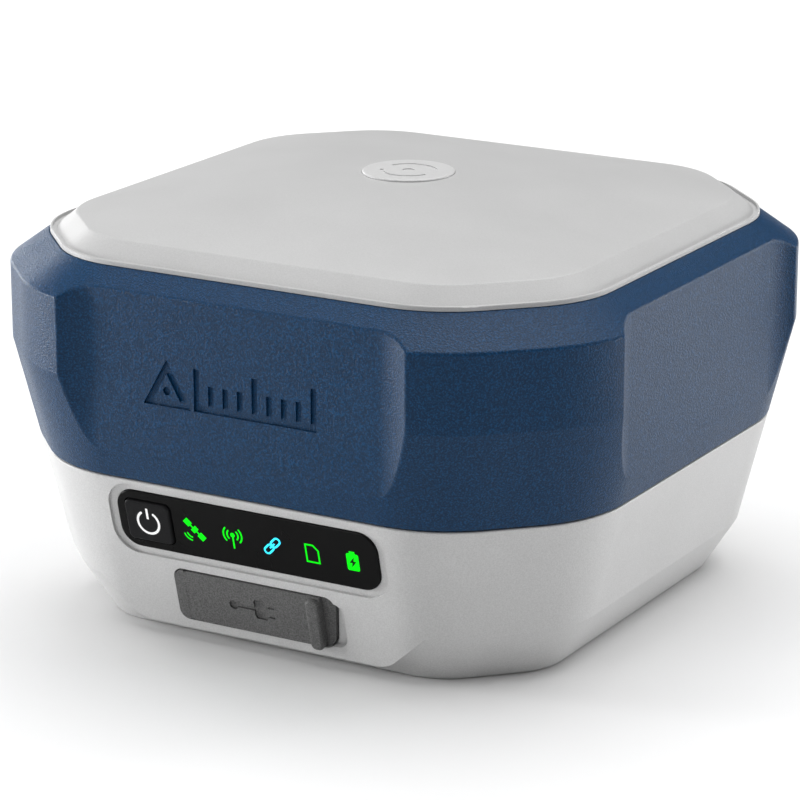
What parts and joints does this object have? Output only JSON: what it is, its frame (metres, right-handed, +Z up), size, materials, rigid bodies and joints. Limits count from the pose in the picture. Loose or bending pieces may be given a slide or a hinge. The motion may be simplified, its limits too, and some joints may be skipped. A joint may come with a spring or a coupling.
{
  "type": "gnss receiver",
  "caption": "Squat square satellite survey receiver with cut corners: grey sloping housing, navy scooped bumper, domed antenna cover, status window, power key and hinged port flap.",
  "frame": {"origin": "centre of the base, in the plane that it stands on", "axes": "+Z up through the antenna cover, -Y out of the front with the status window, +X to the right seen from the front"},
  "size_m": [0.1316, 0.1316, 0.0824],
  "materials": {
    "black_rubber": "matt",
    "brass": "machined",
    "bumper_navy": "coarse spark-eroded grain",
    "button_grey": "satin, near black",
    "cell_wrap": "shrink wrap",
    "ceramic": "sintered ceramic",
    "chassis_metal": "die cast",
    "circuit_board": "solder mask",
    "clear_plastic": "clear",
    "connector_white": "moulded",
    "cover_grey": "fine satin mould texture",
    "dark_plastic": "matt",
    "emblem": "smooth satin",
    "flex_amber": "polyimide film",
    "gold_plate": "gold plated",
    "housing_grey": "fine satin mould texture",
    "icon_cyan": "lit from behind",
    "icon_green": "lit from behind",
    "lead_black": "cable jacket",
    "lead_red": "cable jacket",
    "led": "clear resin over phosphor",
    "membrane": "porous",
    "plate": "brushed, blank",
    "port_rubber": "grained",
    "steel": "machined",
    "symbol_white": "printed",
    "tin": "tin plated",
    "window_black": "high gloss"
  },
  "bodies": {
    "housing": {"amplifier_shield": "tin", "antenna_screws": "steel", "battery_cell_back": "cell_wrap", "battery_cell_front": "cell_wrap", "battery_lead": "lead_red", "battery_tabs": "tin", "battery_tray": "dark_plastic", "blank_plate": "plate", "board_connectors": "connector_white", "board_screws": "steel", "button_seal": "black_rubber", "chassis": "chassis_metal", "chassis_screws": "steel", "coax_lead": "lead_black", "coax_plugs": "gold_plate", "cover_gasket": "black_rubber", "emblem_disc": "emblem", "feed_pins": "gold_plate", "ground_plane": "circuit_board", "housing_screws": "steel", "icon_battery": "icon_green", "icon_card": "icon_green", "icon_link": "icon_cyan", "icon_mast": "icon_green", "icon_satellite": "icon_green", "light_divider": "dark_plastic", "light_guides": "clear_plastic", "lower_housing": "housing_grey", "main_board": "circuit_board", "main_gasket": "black_rubber", "mid_shell": "bumper_navy", "modem_shield": "tin", "panel_board": "circuit_board", "panel_flex": "flex_amber", "panel_screws": "steel", "patch_plate_lower": "gold_plate", "patch_plate_upper": "gold_plate", "patch_substrate_lower": "ceramic", "patch_substrate_upper": "ceramic", "pole_insert": "brass", "port_cover_anchor": "port_rubber", "receiver_module": "circuit_board", "receiver_shield": "tin", "socket_board": "circuit_board", "socket_flex": "flex_amber", "socket_shell": "steel", "socket_tongue": "dark_plastic", "status_leds": "led", "status_window": "window_black", "switch_body": "tin", "tilt_sensor": "dark_plastic", "top_cover": "cover_grey", "vent_cap": "dark_plastic", "vent_membrane": "membrane", "window_seal": "black_rubber", "wireless_antenna": "flex_amber"},
    "power_key": {"power_button": "button_grey", "power_symbol": "symbol_white", "switch_plunger": "dark_plastic"},
    "port_flap": {"port_cover": "port_rubber"}
  },
  "joints": [
    {"name": "power_press", "type": "slide", "parent": "housing", "child": "power_key", "axis": [0, 0.9707, 0.2402], "range_m": [0, 0.0006], "stiffness_N_per_m": 1500},
    {"name": "port_flap_hinge", "type": "hinge", "parent": "housing", "child": "port_flap", "pos_m": [-0.015, -0.05672, 0.00983], "axis": [0, 0.2402, -0.9707], "range_deg": [0, 115], "stiffness_Nm_per_rad": 0.0008}
  ]
}
